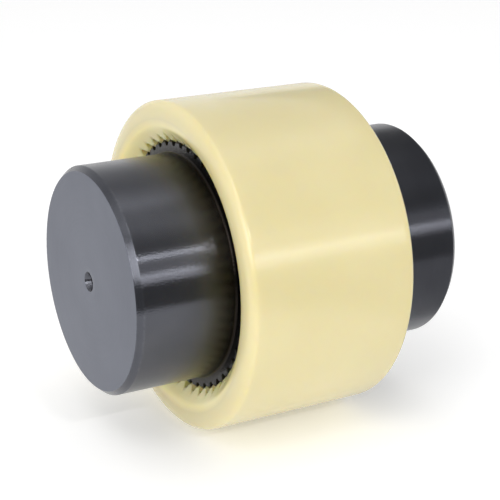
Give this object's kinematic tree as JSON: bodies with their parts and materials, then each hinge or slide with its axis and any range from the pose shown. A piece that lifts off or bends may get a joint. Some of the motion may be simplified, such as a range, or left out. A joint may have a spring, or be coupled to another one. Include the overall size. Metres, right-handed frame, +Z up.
{
  "type": "nylon sleeve gear coupling",
  "caption": "Curved-tooth gear coupling: equal steel hubs with crowned external teeth joined by an internally toothed nylon sleeve.",
  "frame": {"origin": "centre of the coupling, on the axis of rotation at the sleeve's mid-plane", "axes": "+X along the axis of rotation, from the driving hub to the driven hub; +Z up"},
  "size_m": [0.108, 0.1, 0.1],
  "materials": {
    "hub_steel": "turned steel, black oxide, satin",
    "sleeve_nylon": "natural cast nylon, cream, waxy satin",
    "ring_steel": "flat spring steel, bright"
  },
  "bodies": {
    "driving_hub": {"driving_hub": "hub_steel"},
    "sleeve": {"sleeve": "sleeve_nylon", "centre_snap_ring": "ring_steel"},
    "driven_hub": {"driven_hub": "hub_steel"}
  },
  "joints": [
    {"name": "sleeve_slide", "type": "slide", "parent": "driving_hub", "child": "sleeve", "axis": [1, 0, 0], "range_m": [-0.0007, 0.03]},
    {"name": "driven_hub_tilt", "type": "hinge", "parent": "sleeve", "child": "driven_hub", "pos_m": [0.0127, 0, 0], "axis": [0, 1, 0], "range_deg": [-1, 1]}
  ]
}
